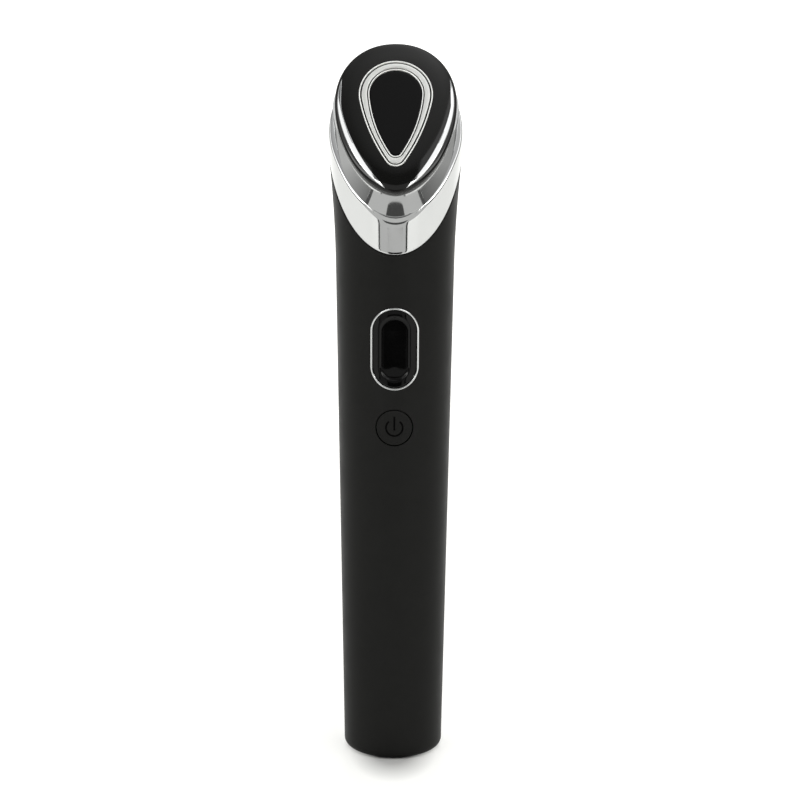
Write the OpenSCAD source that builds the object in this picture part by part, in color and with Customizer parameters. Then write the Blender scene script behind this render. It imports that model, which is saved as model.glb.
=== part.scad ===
// Hand-held facial massager: a slim round handle with an oblique, stepped chrome head.
// The handle stands on its foot at z = 0, its axis is Z and its front faces -Y.

/* [Handle] */
// Height from the foot to the top of the dome
total_h = 170; // [169:0.5:172]
// Radius of the handle where it meets the foot
foot_r = 11.8; // [11.6:0.1:12.2]
// Growth of the radius for each millimetre of height
taper = 0.0177; // [0.016:0.0005:0.019]
// Radius of the slow flare that leads into the shoulder
flare_r = 290; // [240:10:340]
// Widest radius, at the shoulder
shoulder_r = 15.75; // [15.5:0.05:16]
// Height of the shoulder
shoulder_z = 148; // [147:0.5:149]
// Radius of the top of the dome
dome_top_r = 10; // [9:0.5:11]
// Thickness of the handle's wall
wall = 1.7; // [1.5:0.1:1.8]
// Rounding of the handle's lower edge
foot_round = 1.8; // [1:0.2:2]

/* [Head] */
// Tilt of the head's plane from horizontal
head_tilt = 58; // [57:0.5:59]
// Height at which the cut of the handle crosses its axis
cut_z = 145.2; // [144.8:0.2:146]
// Dark line between the handle and the chrome collar
seam_h = 0.3; // [0.2:0.05:0.4]
// Height of the chrome collar above the cut
collar_h = 5.5; // [5.2:0.05:5.7]
// Height of the neck above the collar
neck_h = 2.75; // [2.5:0.05:3]
// Half width of the black head cap
cap_w = 14.03; // [13.8:0.05:14.2]
// Reach of the cap above its widest line
cap_up = 15.45; // [15:0.05:15.6]
// Reach of the cap below its widest line
cap_down = 22.3; // [21.8:0.1:22.5]
// Height of the cap's upright wall
cap_wall_h = 2; // [1.6:0.1:2.4]

/* [Window and button] */
// Height of the middle of the display window
window_z = 101.25; // [100:0.25:103]
// Height of the window, outside its chrome line
window_h = 19.6; // [18.5:0.1:20.5]
// Width of the window, outside its chrome line
window_w = 11.35; // [10.8:0.05:11.6]
// Width of the chrome line
trim_w = 0.42; // [0.35:0.01:0.5]
// Height of the power button's middle
button_z = 82.5; // [81:0.25:83]
// Radius of the power button
button_r = 4.18; // [4:0.02:4.3]
// Gap round the power button
button_gap = 0.24; // [0.2:0.02:0.3]
// Travel of the power button
button_travel = 0.4; // [0.2:0.05:0.4]

/* [Inside] */
// Radius of the battery cell
cell_r = 7; // [6.8:0.05:7]
// Length of the battery cell
cell_h = 50; // [47:0.5:50.5]
// Thickness of the circuit boards
board_t = 1; // [0.8:0.1:1]
// Radius of the vibration motor
motor_r = 3; // [2.5:0.1:3]
// Radius of the motor's shaft
shaft_r = 0.5; // [0.4:0.05:0.6]
// Clearance of a turning shaft in its bearing
shaft_gap = 0.05; // [0.03:0.01:0.08]
// Clearance between parts that slide together
fit_gap = 0.1; // [0.05:0.01:0.12]

/* [Hidden] */
$fn = 96;
far = 80;

// Colours
soft_black = [0.16, 0.16, 0.16];
gloss_black = [0.07, 0.07, 0.07];
chrome = [0.82, 0.82, 0.83];
steel = [0.7, 0.7, 0.72];
board_green = [0.08, 0.3, 0.16];
nylon_grey = [0.35, 0.36, 0.38];

// Envelope of revolution: a cone, a slow flare, a shoulder arc and a top arc, each
// tangent to the next. The shoulder arc's radius follows from the dome's height.
dome_h = total_h - shoulder_z;
shoulder_arc = ((dome_h - dome_top_r) ^ 2 + shoulder_r ^ 2 - dome_top_r ^ 2)
    / (2 * (shoulder_r - dome_top_r));
shoulder_c = [shoulder_r - shoulder_arc, shoulder_z];
dome_c = [0, total_h - dome_top_r];
cone_angle = atan(taper);
cone_dir = [sin(cone_angle), cos(cone_angle)];
cone_out = [cos(cone_angle), -sin(cone_angle)];
foot_p = [foot_r, 0];
flare_w = foot_p + flare_r * cone_out - shoulder_c;
flare_run = -flare_w * cone_dir
    - sqrt((flare_w * cone_dir) ^ 2 - flare_w * flare_w + (flare_r + shoulder_arc) ^ 2);
flare_c = foot_p + flare_r * cone_out + flare_run * cone_dir;
to_flare = (flare_c - shoulder_c) / norm(flare_c - shoulder_c);
to_dome = (dome_c - shoulder_c) / norm(dome_c - shoulder_c);

// Radius of the straight part of the handle at a height
function cone_r(z) = foot_r + taper * z;

// Heights of the steps of the head, measured square to its plane
neck_base = collar_h;
cap_base = collar_h + neck_h;
cap_mid = 7.3;
collar_wall = 2;
collar_lid = 1.2;
plate_top = 1.8;
recess_floor = cap_base + 1.3;
neck_inset = 0.5;
neck_wall = 1.1;
led_board_t = 0.8;
led_board_top = collar_h + led_board_t;
post_r = 1.7;
pin_r = 0.35;

// Ovals of the head: half width, reach up, reach down, height of the widest line
cap_oval = [cap_w, cap_up, cap_down, cap_mid];
neck_oval = [14.65, 12.8, 27.35, 8.75];
cap_bend = [0.94, 1.1];

// Teardrops: radius and height of the big end, the same of the tip, and the radius of
// the side arcs that touch both
ring_drop = [8.54, 9.12, 2.63, -6.345, 42.66];
lens_drop = [6.07, 9.25, 1.43, -4.96, 32.1];

// Crown of the cap: height above its base, inset from its outline and thickness
slice = 0.01;
crown = [
    [0, 0.35, slice], [0.4, 0, cap_wall_h - 0.4], [cap_wall_h + 0.5, 0.24, slice],
    [cap_wall_h + 0.85, 0.75, slice], [cap_wall_h + 1.07, 1.6, slice],
    [cap_wall_h + 1.32, 4, slice], [cap_wall_h + 1.48, 7.5, slice],
    [cap_wall_h + 1.53, 10.5, slice],
];

// Layout inside the handle
floor_h = 2;
lip_r = 9;
socket = [8.94, 3.2];
socket_wall = 0.3;
board_y = -5.6;
board_back = board_y + board_t;
socket_y = board_back + socket.y / 2;
board_w = 16;
board_low = 2.4;
board_high = 114;
cell_y = 3.3;
tray_z = 14;
tray_t = 2;
tab_t = 0.4;
cell_low = tray_z + tray_t + tab_t;
cell_nub_h = 1;
stop_z = cell_low + cell_h + cell_nub_h + tab_t;
rail_in = 6.9;
deck_z = 116;
deck_top = 118;
motor_y = 4;
motor_h = 9;
lead_r = 0.35;
lead_x = 0.6;
screw_x = 6.9;
screw_rows = [21, 64, 112];
cap_screws = [[-7.1, -3.5], [7.1, -3.5], [-7.1, 11], [7.1, 11]];
pin_places = [[-9, -5], [9, -5], [0, -8.1], [0, 16.9]];
switch_front = -8.1;
stem_front = switch_front - button_travel - 0.5;
flange_front = -10.15;
flange_back = -9.35;
module_front = -11.2;
trim_seat = -12;

// Outline of the envelope, set in by e millimetres all round
module envelope_profile(e = 0) {
    low = foot_p - e * cone_out;
    cone_end = foot_p + flare_run * cone_dir - e * cone_out;
    flare_end = shoulder_c + (shoulder_arc - e) * to_flare;
    shoulder_end = shoulder_c + (shoulder_arc - e) * to_dome;
    difference() {
        polygon([[0, 0], [low.x, 0], cone_end, flare_end, [0, flare_end.y]]);
        translate(flare_c) circle(flare_r + e);
    }
    intersection() {
        translate(shoulder_c) circle(shoulder_arc - e);
        translate([0, flare_end.y]) square([far, shoulder_end.y - flare_end.y]);
    }
    intersection() {
        translate(dome_c) circle(dome_top_r - e);
        translate([0, shoulder_end.y]) square(far);
    }
}

module envelope(e = 0) {
    rotate_extrude() envelope_profile(e);
}

// Places children in the head's tilted frame, t above the cut
module tilted(t = 0) {
    translate([0, 0, cut_z]) rotate([head_tilt, 0, 0]) translate([0, 0, t]) children();
}

// The same for a point in the plane of symmetry, as its place in Y and Z
function tilted_yz(s, t) =
    [s * cos(head_tilt) - t * sin(head_tilt), cut_z + s * sin(head_tilt) + t * cos(head_tilt)];

// All space between two planes parallel to the cut
module tilted_slab(t0, t1) {
    tilted(t0) translate([-far / 2, -far, 0]) cube([far, 2 * far, t1 - t0]);
}

// All space between two heights
module level_slab(z0, z1) {
    translate([-far / 2, -far / 2, z0]) cube([far, far, z1 - z0]);
}

// Egg outline made of two half ovals that share their widest line. The two bends are
// for the upper and lower half: above 1 it is drawn in to a tip, below 1 it is fuller.
function egg_points(oval, inset = 0, bend = [1, 1], steps = 60) = [
    for (i = [0:steps - 1])
        let (
            a = i * 360 / steps,
            k = sin(a) < 0 ? bend[1] : bend[0],
            reach = sin(a) < 0 ? oval[2] : oval[1]
        ) [
            (oval[0] - inset) * sign(cos(a)) * abs(cos(a)) ^ k,
            oval[3] + (reach - inset) * sign(sin(a)) * abs(sin(a)) ^ k
        ]
];

module egg(oval, inset = 0, bend = [1, 1]) {
    polygon(egg_points(oval, inset, bend));
}

// Capsule outline: length along Y, width along X
module capsule(length, width) {
    for (side = [-1, 1])
        translate([0, side * (length - width) / 2]) circle(d = width);
    square([width, length - width], center = true);
}

// Stands an outline drawn in X and Z on the front, from y0 back to y1
module from_front(z, y0, y1) {
    translate([0, y1, z]) rotate([90, 0, 0]) linear_extrude(y1 - y0) children();
}

// Box given by its lowest corner and its highest corner
module span(low, high) {
    translate(low) cube(high - low);
}

// Teardrop outline, big end up, made of four arcs that run smoothly into each other
module teardrop(drop, inset = 0) {
    gap = drop[1] - drop[3];
    to_big = drop[4] - drop[0];
    to_tip = drop[4] - drop[2];
    rise = (to_tip ^ 2 - to_big ^ 2 + gap ^ 2) / (2 * gap);
    side_c = [-sqrt(to_tip ^ 2 - rise ^ 2), drop[3] + rise];
    big_touch = side_c + ([0, drop[1]] - side_c) / to_big * drop[4];
    tip_touch = side_c + ([0, drop[3]] - side_c) / to_tip * drop[4];
    offset(delta = -inset) {
        translate([0, drop[1]]) circle(drop[0]);
        translate([0, drop[3]]) circle(drop[2]);
        intersection() {
            translate(side_c) circle(drop[4], $fn = 5 * $fn);
            translate([-side_c.x, side_c.y]) circle(drop[4], $fn = 5 * $fn);
            translate([-far / 2, tip_touch.y]) square([far, big_touch.y - tip_touch.y]);
        }
    }
}

// Crown-shaped blank of the head cap, raised by lift
module cap_blank(lift = 0) {
    hull()
        for (layer = crown)
            tilted(cap_base + layer[0] + lift)
                linear_extrude(layer[2]) egg(cap_oval, layer[1], cap_bend);
}

// Crescent outline on the right side, between two eggs that meet at its upper point.
// A straight cut sharpens its lower point, near the cap's tip.
module crescent(inset = 0) {
    outer = [13.475, 15, 22.14, cap_mid];
    inner = [12.5, 40, 22.07, 7.12];
    point_cut = [[0, -11.5], [3.9, -11.9], [0.9, -16]];
    offset(delta = -inset)
        intersection() {
            difference() {
                egg(outer, 0, [0.94, 1.226]);
                egg(inner, 0, [1, 1.394]);
                polygon(point_cut);
            }
            translate([0, -far / 2]) square(far);
        }
}

// Flat cut that leaves the crescent-shaped bevel at the front of the collar's top
module bevel_space() {
    bevel_start = -16.4;
    bevel_angle = 12.5;
    tilted(collar_h) translate([0, bevel_start, 0]) rotate([bevel_angle, 0, 0])
        translate([-far / 2, -far, 0]) cube([far, far, far / 4]);
}

// One-piece soft-touch tube: open at the oblique top, with a lip round the foot
module handle_barrel() {
    color(soft_black)
        difference() {
            envelope();
            tilted_slab(0, far);
            difference() {
                envelope(wall);
                level_slab(-1, floor_h);
            }
            translate([0, 0, -1]) cylinder(r = lip_r, h = floor_h + 2);
            rotate_extrude()
                translate([foot_r + taper * foot_round - foot_round, 0])
                    difference() {
                        square(foot_round + 1);
                        translate([0, foot_round]) circle(foot_round);
                        translate([0, foot_round]) square(foot_round + 1);
                    }
            from_front(window_z, -far / 2, board_y) capsule(window_h, window_w);
            from_front(button_z, -far / 2, board_y) circle(button_r + button_gap);
        }
}

// Flush plug in the foot: it passes the charging socket and clips over the lip
module end_cap() {
    disc_r = lip_r - fit_gap / 2;
    arm = [4, 1];
    arm_out = 8.7;
    barb = 0.65;
    barb_h = 0.9;
    slot_gap = 0.26;
    funnel = 0.8;
    color(soft_black)
        difference() {
            union() {
                cylinder(r = disc_r, h = floor_h);
                for (side = [-1, 1]) scale([1, side, 1]) {
                    span([-arm.x / 2, arm_out - arm.y, floor_h],
                        [arm.x / 2, arm_out + barb, floor_h + barb_h]);
                }
            }
            translate([0, socket_y, -1]) linear_extrude(floor_h + 2)
                rotate(90) capsule(socket.x + slot_gap, socket.y + slot_gap);
            translate([0, socket_y, -1]) linear_extrude(1.5)
                rotate(90) capsule(socket.x + slot_gap + funnel, socket.y + slot_gap + funnel);
        }
}

// Sled that carries the board and the cell: two rails, a tray, a stop and a deck
module chassis() {
    boss_in = 5.4;
    boss_back = -1.6;
    color(nylon_grey)
        intersection() {
            difference() {
                union() {
                    for (side = [-1, 1]) scale([side, 1, 1]) {
                        span([rail_in, board_back, floor_h], [far / 4, 0, deck_top]);
                        for (z = screw_rows)
                            span([boss_in, board_back, z - 2.4], [far / 4, boss_back, z + 2.4]);
                    }
                    span([-rail_in, board_back, tray_z], [rail_in, 9.6, tray_z + tray_t]);
                    span([-rail_in, board_back, stop_z], [rail_in, 9.6, stop_z + tray_t]);
                    span([-rail_in, board_back, deck_z], [rail_in, 8.5, deck_top]);
                }
                for (side = [-1, 1], z = screw_rows)
                    translate([side * screw_x, board_back - 1, z])
                        rotate([-90, 0, 0]) cylinder(r = 0.6, h = 3.6);
                span([-2.2, 6.4, tray_z - 1], [2.2, 9.7, tray_z + tray_t + 1]);
                span([-3, board_back - 1, stop_z - 1], [3, -2, stop_z + tray_t + 1]);
            }
            difference() {
                envelope(wall + fit_gap);
                level_slab(-1, floor_h);
            }
        }
}

// Main circuit board along the front of the sled
module main_board() {
    color(board_green)
        difference() {
            span([-board_w / 2, board_y, board_low], [board_w / 2, board_back, board_high]);
            for (side = [-1, 1], z = screw_rows)
                translate([side * screw_x, board_y - 1, z])
                    rotate([-90, 0, 0]) cylinder(r = 0.8, h = board_t + 2);
            for (side = [-1, 1])
                translate([side * board_w / 2, board_y - 1, board_low])
                    rotate([-90, 45, 0]) cube([2, 2, 2 * board_t + 4], center = true);
        }
}

// Chips and passive parts on the front of the board: width, height and thickness
module board_chips() {
    controller = [[0, 30], [7, 7, 1]];
    driver = [[0, 44], [5, 6, 1.2]];
    charger = [[0, 16], [5, 4, 1]];
    coil = [[4.2, 54], [4, 4, 2]];
    crystal = [[-4.6, 52], [3, 4, 1.4]];
    resistors = [[[5, 38], [2, 3, 0.8]], [[-5, 38], [2, 3, 0.8]]];
    color(gloss_black)
        for (chip = concat([controller, driver, charger, coil, crystal], resistors)) {
            place = chip[0];
            size = chip[1];
            span([place.x - size.x / 2, board_y - size.z, place.y - size.y / 2],
                [place.x + size.x / 2, board_y, place.y + size.y / 2]);
        }
}

// Capacitor that feeds the pulses, lying on the front of the board
module storage_capacitor() {
    can_r = 2;
    can_h = 5.6;
    can_z = 66;
    color([0.25, 0.3, 0.45])
        translate([0, board_y - can_r, can_z])
            union() {
                cylinder(r = can_r, h = can_h);
                span([-can_r, 0, 0], [can_r, can_r, can_h]);
            }
}

// Pulse transformer on the back of the board, above the cell
module pulse_transformer() {
    low = stop_z + tray_t + 2;
    core_h = 9;
    core_t = 1.2;
    core_half = 5;
    coil_r = 3.1;
    coil_h = 4.6;
    front = board_back + core_t;
    back = front + coil_h;
    color([0.45, 0.3, 0.15])
        union() {
            span([-core_half, board_back, low], [core_half, front, low + core_h]);
            translate([0, front, low + core_h / 2])
                rotate([-90, 0, 0]) cylinder(r = coil_r, h = coil_h);
            span([-core_half, back, low], [core_half, back + core_t, low + core_h]);
            for (side = [-1, 1]) scale([side, 1, 1])
                span([core_half - core_t, front, low], [core_half, back, low + core_h]);
        }
}

// Metal shell of the charging socket, on the back of the board
module usb_c_shell() {
    color(steel)
        translate([0, socket_y, 0.5])
            difference() {
                linear_extrude(7.3) rotate(90) capsule(socket.x, socket.y);
                translate([0, 0, -1]) linear_extrude(7.5) rotate(90)
                    capsule(socket.x - 2 * socket_wall, socket.y - 2 * socket_wall);
            }
}

// Contact tongue inside the socket, with the moulding that closes its back
module usb_c_tongue() {
    tongue = [3.35, 0.35];
    tongue_low = 0.6;
    back_low = 5.2;
    color(gloss_black)
        translate([0, socket_y, 0.5]) {
            span([-tongue.x, -tongue.y, tongue_low], [tongue.x, tongue.y, back_low]);
            translate([0, 0, back_low]) linear_extrude(1.3) rotate(90)
                capsule(socket.x - 2 * socket_wall - 0.04, socket.y - 2 * socket_wall - 0.04);
        }
}

// Lithium cell with its raised positive end
module battery_cell() {
    nub_r = 2.6;
    color([0.2, 0.42, 0.62])
        translate([0, cell_y, cell_low]) {
            cylinder(r = cell_r, h = cell_h);
            translate([0, 0, cell_h]) cylinder(r = nub_r, h = cell_nub_h);
        }
}

// Nickel tabs at the two ends of the cell, soldered to the back of the board
module battery_tabs() {
    tab_w = 5;
    low_back = cell_y + 5.3;
    high_back = cell_y + 3.3;
    color(steel) {
        span([-tab_w / 2, board_back, cell_low - tab_t], [tab_w / 2, low_back, cell_low]);
        span([-tab_w / 2, board_back, stop_z - tab_t], [tab_w / 2, high_back, stop_z]);
    }
}

// Pan-head screws that hold the board to the sled
module board_screws() {
    color(steel)
        for (side = [-1, 1], z = screw_rows)
            translate([side * screw_x, board_y, z]) rotate([-90, 0, 0]) {
                translate([0, 0, -0.7]) cylinder(r = 1.1, h = 0.7);
                cylinder(r = 0.55, h = board_t + 2.2);
            }
}

// Body of the push switch under the power button
module tact_switch() {
    half = 3;
    well_back = -7.2;
    color(gloss_black)
        difference() {
            span([-half, switch_front, button_z - half], [half, board_y, button_z + half]);
            from_front(button_z, switch_front - 1, well_back) circle(1.75);
        }
}

// Plunger of the push switch, which moves with the button
module switch_plunger() {
    color(soft_black)
        from_front(button_z, stem_front, switch_front + 0.3) circle(1.65);
}

// Power button: its face follows the handle, a flange keeps it behind the wall
module power_button() {
    dish_r = 60;
    dish_depth = 0.12;
    color(soft_black) {
        difference() {
            intersection() {
                envelope();
                from_front(button_z, -far / 2, flange_front) circle(button_r);
            }
            translate([0, -cone_r(button_z) - dish_r + dish_depth, button_z]) sphere(dish_r);
        }
        from_front(button_z, flange_front, flange_back) circle(button_r + 0.85);
        from_front(button_z, flange_back, stem_front) circle(1.5);
    }
}

// Light box and digits behind the window
module display_module() {
    color(nylon_grey)
        difference() {
            from_front(window_z, module_front, board_y) capsule(window_h - 2.6, window_w - 2.6);
            from_front(window_z, module_front - 1, module_front + 1.2)
                capsule(window_h - 5, window_w - 5);
        }
}

// Gloss black window with a dished face and a rim that the chrome line sits on
module display_lens() {
    sink = 0.3;
    dish = 0.45;
    rim = 1.75;
    color(gloss_black)
        difference() {
            union() {
                intersection() {
                    envelope(sink);
                    from_front(window_z, -far / 2, trim_seat)
                        capsule(window_h - 2 * trim_w - 0.2, window_w - 2 * trim_w - 0.2);
                }
                from_front(window_z, trim_seat, module_front)
                    capsule(window_h - 0.1, window_w - 0.1);
            }
            difference() {
                from_front(window_z, -far / 2, trim_seat + 0.2)
                    capsule(window_h - 2 * trim_w - 2 * rim, window_w - 2 * trim_w - 2 * rim);
                envelope(sink + dish);
            }
        }
}

// Thin chrome line round the window
module display_trim() {
    proud = 0.12;
    color(chrome)
        intersection() {
            envelope(-proud);
            from_front(window_z, -far / 2, trim_seat)
                difference() {
                    capsule(window_h - 0.1, window_w - 0.1);
                    capsule(window_h - 0.1 - 2 * trim_w, window_w - 0.1 - 2 * trim_w);
                }
        }
}

// Rubber block that holds the motor on the deck, with a channel for its leads
module motor_mount() {
    mount = [5, 4.4, 4.2];
    channel = lead_x + 2 * lead_r;
    color(soft_black)
        difference() {
            span([-mount.x, motor_y - mount.y, deck_top],
                [mount.x, motor_y + mount.z, deck_top + motor_h - 2]);
            translate([0, motor_y, deck_top - 1]) cylinder(r = motor_r + 0.05, h = motor_h);
            span([-channel, -far / 8, deck_top - 1], [channel, motor_y, deck_top + 3 * lead_r]);
        }
}

// Two leads of the motor: out of its foot, over the deck's edge and down to the board
module motor_leads() {
    drop_y = (board_y + board_back) / 2;
    lead_z = deck_top + lead_r;
    color([0.55, 0.12, 0.1])
        difference() {
            for (side = [-1, 1]) {
                translate([side * lead_x, motor_y, lead_z])
                    rotate([90, 0, 0]) cylinder(r = lead_r, h = motor_y - drop_y, $fn = 32);
                translate([side * lead_x, drop_y, lead_z]) sphere(lead_r, $fn = 32);
                translate([side * lead_x, drop_y, board_high])
                    cylinder(r = lead_r, h = lead_z - board_high, $fn = 32);
            }
            translate([0, motor_y, deck_top - 1]) cylinder(r = motor_r, h = motor_h);
        }
}

// Flat cable from the front of the board up through the frame to the small board
module head_ribbon() {
    ribbon_w = 4;
    half_t = 0.15;
    end_p = tilted_yz(4, collar_h);
    path = [
        [board_y - half_t, board_high - 3], [board_y - half_t, board_high + 1],
        [board_y - 1.4, deck_top + 4], tilted_yz(4, -4), tilted_yz(4, 0.5), end_p,
    ];
    color([0.75, 0.45, 0.15])
        intersection() {
            translate([-ribbon_w / 2, 0, 0]) rotate([90, 0, 90]) linear_extrude(ribbon_w)
                for (i = [0:len(path) - 2])
                    hull() {
                        translate(path[i]) circle(half_t, $fn = 12);
                        translate(path[i + 1]) circle(half_t, $fn = 12);
                    }
            tilted_slab(-far, collar_h);
        }
}

// Foam strip that presses the cell against its tray and keeps it from rattling
module cell_pad() {
    pad = [5, 20];
    color([0.3, 0.3, 0.32])
        difference() {
            span([-pad.x, board_back, cell_low + 8], [pad.x, 0, cell_low + 8 + pad.y]);
            translate([0, cell_y, cell_low]) cylinder(r = cell_r + 0.01, h = cell_h);
        }
}

// Can of the vibration motor, with a bore for its shaft
module motor_can() {
    bore_depth = 5;
    color(steel)
        translate([0, motor_y, deck_top])
            difference() {
                cylinder(r = motor_r, h = motor_h);
                translate([0, 0, motor_h - bore_depth])
                    cylinder(r = shaft_r + shaft_gap, h = bore_depth + 1);
            }
}

// Motor shaft
module motor_shaft() {
    sunk = 4.6;
    color(chrome)
        translate([0, motor_y, deck_top + motor_h - sunk]) cylinder(r = shaft_r, h = sunk + 4.4);
}

// Half-round weight that makes the motor shake
module eccentric_weight() {
    weight_r = 2.7;
    weight_h = 3.6;
    color([0.6, 0.58, 0.5])
        translate([0, motor_y, deck_top + motor_h + 0.6])
            difference() {
                union() {
                    cylinder(r = 1.1, h = weight_h);
                    intersection() {
                        cylinder(r = weight_r, h = weight_h);
                        span([-weight_r, -weight_r, 0], [weight_r, 0, weight_h]);
                    }
                }
                translate([0, 0, -1]) cylinder(r = shaft_r, h = weight_h + 2);
            }
}

// Frame that plugs into the handle's mouth and carries every piece of the head
module head_frame() {
    spigot = 5;
    spigot_t = 1.4;
    leg_in = 9.2;
    leg = [2.2, 3.4];
    color(soft_black) {
        difference() {
            union() {
                intersection() {
                    envelope(wall + fit_gap);
                    tilted_slab(-spigot, 0);
                }
                intersection() {
                    envelope(0.45);
                    tilted_slab(0, seam_h);
                }
                intersection() {
                    envelope(collar_wall + fit_gap);
                    tilted_slab(seam_h, plate_top);
                }
            }
            intersection() {
                envelope(wall + fit_gap + spigot_t);
                tilted_slab(-spigot - 1, seam_h - 1.2);
            }
            tilted(-spigot) translate([0, 4, 0]) cylinder(r = 3.5, h = spigot + plate_top + 1);
            for (p = cap_screws)
                tilted(-spigot) translate(p) cylinder(r = 0.85, h = spigot + plate_top + 1);
        }
        intersection() {
            for (side = [-1, 1]) scale([side, 1, 1])
                span([leg_in, -leg.y, deck_top], [leg_in + leg.x, 0, cut_z]);
            tilted_slab(-far, -0.5);
            envelope(wall + fit_gap);
        }
    }
}

// Lower chrome tier: a shell on the envelope with a lid that the neck stands on
module chrome_collar() {
    lid_inset = 4.5;
    color(chrome)
        difference() {
            intersection() {
                envelope();
                tilted_slab(seam_h, collar_h);
            }
            intersection() {
                envelope(collar_wall);
                tilted_slab(seam_h - 1, collar_h - collar_lid);
            }
            tilted(0) linear_extrude(collar_h + 1) egg(cap_oval, lid_inset, cap_bend);
            for (p = cap_screws)
                tilted(0) translate(p) cylinder(r = post_r + fit_gap, h = collar_h + 1);
            bevel_space();
        }
}

// Upper chrome tier: it leans from the collar's rim in to the head cap
module neck_ring() {
    skirt_h = 2;
    skirt_inset = 0.05;
    overlap = 0.02;
    color(chrome)
        difference() {
            union() {
                hull() {
                    tilted(neck_base) linear_extrude(slice) egg(neck_oval);
                    tilted(cap_base - slice) linear_extrude(slice)
                        egg(cap_oval, neck_inset, cap_bend);
                }
                intersection() {
                    tilted(neck_base - skirt_h) linear_extrude(skirt_h + overlap)
                        egg(neck_oval, skirt_inset);
                    bevel_space();
                }
            }
            tilted(0) linear_extrude(cap_base + 1) egg(cap_oval, neck_inset + neck_wall, cap_bend);
        }
}

// Gloss black head cap: a crowned egg with seats for its electrodes and lens
module head_cap() {
    lens_ledge = 0.85;
    pocket_top = 0.8;
    color(gloss_black)
        difference() {
            union() {
                cap_blank();
                for (p = cap_screws)
                    tilted(plate_top) translate(p) cylinder(r = post_r, h = cap_base - plate_top + 0.5);
            }
            tilted(recess_floor) linear_extrude(far / 8) teardrop(ring_drop);
            tilted(cap_base - 1) linear_extrude(far / 8) teardrop(lens_drop, -fit_gap);
            tilted(cap_base - 1) linear_extrude(1 + pocket_top) teardrop(lens_drop, -lens_ledge);
            for (side = [-1, 1])
                tilted(recess_floor) scale([side, 1, 1]) linear_extrude(far / 8) crescent();
            for (p = cap_screws)
                tilted(plate_top - 1) translate(p) cylinder(r = 0.6, h = 6);
            for (p = pin_places)
                tilted(cap_base - 1) translate(p) cylinder(r = pin_r + fit_gap, h = 4);
        }
}

// Screws that pull the frame, the tiers and the cap together
module head_screws() {
    color(steel)
        for (p = cap_screws)
            tilted(seam_h - 1.2) translate([p.x, p.y, 0]) {
                translate([0, 0, -0.9]) cylinder(r = 1.3, h = 0.9);
                cylinder(r = 0.55, h = 6.2);
            }
}

// Crescent electrode on one side of the cap
module crescent_electrode(side) {
    proud = 0.12;
    color(chrome)
        intersection() {
            cap_blank(proud);
            tilted(recess_floor) scale([side, 1, 1])
                linear_extrude(far / 8) crescent(0.03);
        }
}

module left_crescent() {
    crescent_electrode(-1);
}

module right_crescent() {
    crescent_electrode(1);
}

// Ring electrode: a raised bead along its outer edge, a fine groove inside the bead,
// and a second, finer bead round the lens
module teardrop_electrode() {
    proud = 0.3;
    play = 0.04;
    bead = 0.45;
    groove = 0.22;
    groove_depth = 0.35;
    inner_bead = 0.35;
    inner_groove = 0.14;
    color(chrome)
        difference() {
            intersection() {
                cap_blank(proud);
                tilted(recess_floor) linear_extrude(far / 8)
                    difference() {
                        teardrop(ring_drop, play);
                        teardrop(lens_drop);
                    }
            }
            difference() {
                tilted(recess_floor + 0.8) linear_extrude(far / 8) {
                    difference() {
                        teardrop(ring_drop, bead);
                        teardrop(ring_drop, bead + groove);
                    }
                    difference() {
                        teardrop(lens_drop, -inner_bead - inner_groove);
                        teardrop(lens_drop, -inner_bead);
                    }
                }
                cap_blank(proud - groove_depth);
            }
        }
}

// Gloss black lens inside the ring, held from below by its own flange
module teardrop_lens() {
    sink = 0.15;
    play = 0.08;
    flange = 0.78;
    flange_h = 0.8;
    color(gloss_black)
        intersection() {
            cap_blank(-sink);
            tilted(cap_base) union() {
                linear_extrude(far / 8) teardrop(lens_drop, play);
                linear_extrude(flange_h) teardrop(lens_drop, -flange);
            }
        }
}

// Small board under the cap that carries the lights
module led_board() {
    color(board_green)
        tilted(collar_h)
            difference() {
                linear_extrude(led_board_t) egg(cap_oval, neck_inset + neck_wall + fit_gap, cap_bend);
                for (p = cap_screws)
                    translate([p.x, p.y, -1]) cylinder(r = post_r + 0.3, h = led_board_t + 2);
            }
}

// Lights on the small board, in two rows of three
module leds() {
    size = [2.4, 2.4, 0.8];
    color([0.9, 0.85, 0.6])
        for (x = [-2.6, 2.6], y = [1, 6, 11])
            tilted(led_board_top) translate([x - size.x / 2, y - size.y / 2, 0]) cube(size);
}

// Spring pins that join the small board to the electrodes
module contact_pins() {
    color([0.83, 0.68, 0.3])
        for (p = pin_places)
            tilted(led_board_top) translate(p)
                cylinder(r = pin_r, h = recess_floor - led_board_top);
}

handle_barrel();
end_cap();
chassis();
main_board();
board_chips();
storage_capacitor();
pulse_transformer();
usb_c_shell();
usb_c_tongue();
battery_cell();
battery_tabs();
board_screws();
tact_switch();
switch_plunger();
power_button();
display_module();
display_lens();
display_trim();
motor_mount();
motor_can();
motor_shaft();
eccentric_weight();
head_frame();
chrome_collar();
neck_ring();
head_cap();
head_screws();
left_crescent();
right_crescent();
teardrop_electrode();
teardrop_lens();
led_board();
leds();
contact_pins();
motor_leads();
head_ribbon();
cell_pad();
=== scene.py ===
import math

import bmesh
import bpy
from mathutils import Matrix, Vector


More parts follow.
